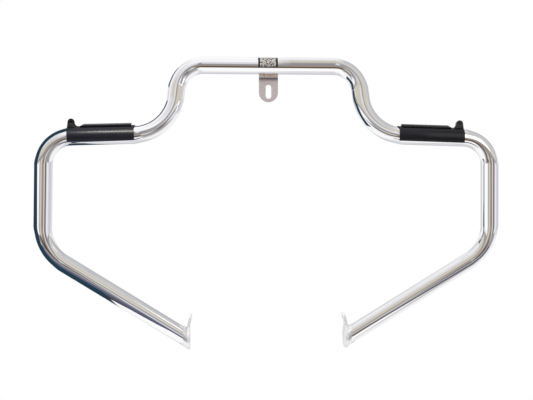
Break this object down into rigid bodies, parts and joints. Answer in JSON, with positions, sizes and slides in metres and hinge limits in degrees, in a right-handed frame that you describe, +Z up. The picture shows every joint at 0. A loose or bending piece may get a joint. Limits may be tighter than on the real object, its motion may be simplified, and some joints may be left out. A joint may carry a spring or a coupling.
{
  "type": "motorcycle crash bars",
  "caption": "Bent chrome tube that guards a motorcycle's engine, with a slotted frame tab, holed foot plates and rubber foot pads on its shoulders.",
  "frame": {"origin": "centre of the centre tab's slot, on the tab's rear face, which bolts to the motorcycle's frame", "axes": "+Z up, +X across the motorcycle toward the right of a viewer who faces the bar from the front, +Y toward the rear of the motorcycle, so the viewer stands at -Y"},
  "size_m": [0.8322, 0.1276, 0.5388],
  "materials": {
    "tube_chrome": "polished chrome plate",
    "plate_chrome": "chrome plate over a sawn and ground edge",
    "weld_chrome": "chrome plate over a ground weld bead",
    "tab_steel": "dull plated steel, evenly matte",
    "pad_rubber": "black moulded rubber with a soft sheen"
  },
  "bodies": {
    "root": {"main_tube": "tube_chrome", "center_tab": "tab_steel", "tab_weld_front": "weld_chrome", "tab_weld_rear": "weld_chrome", "left_foot_plate": "plate_chrome", "right_foot_plate": "plate_chrome", "left_plate_weld": "weld_chrome", "right_plate_weld": "weld_chrome", "left_foot_pad": "pad_rubber", "right_foot_pad": "pad_rubber"}
  },
  "joints": []
}
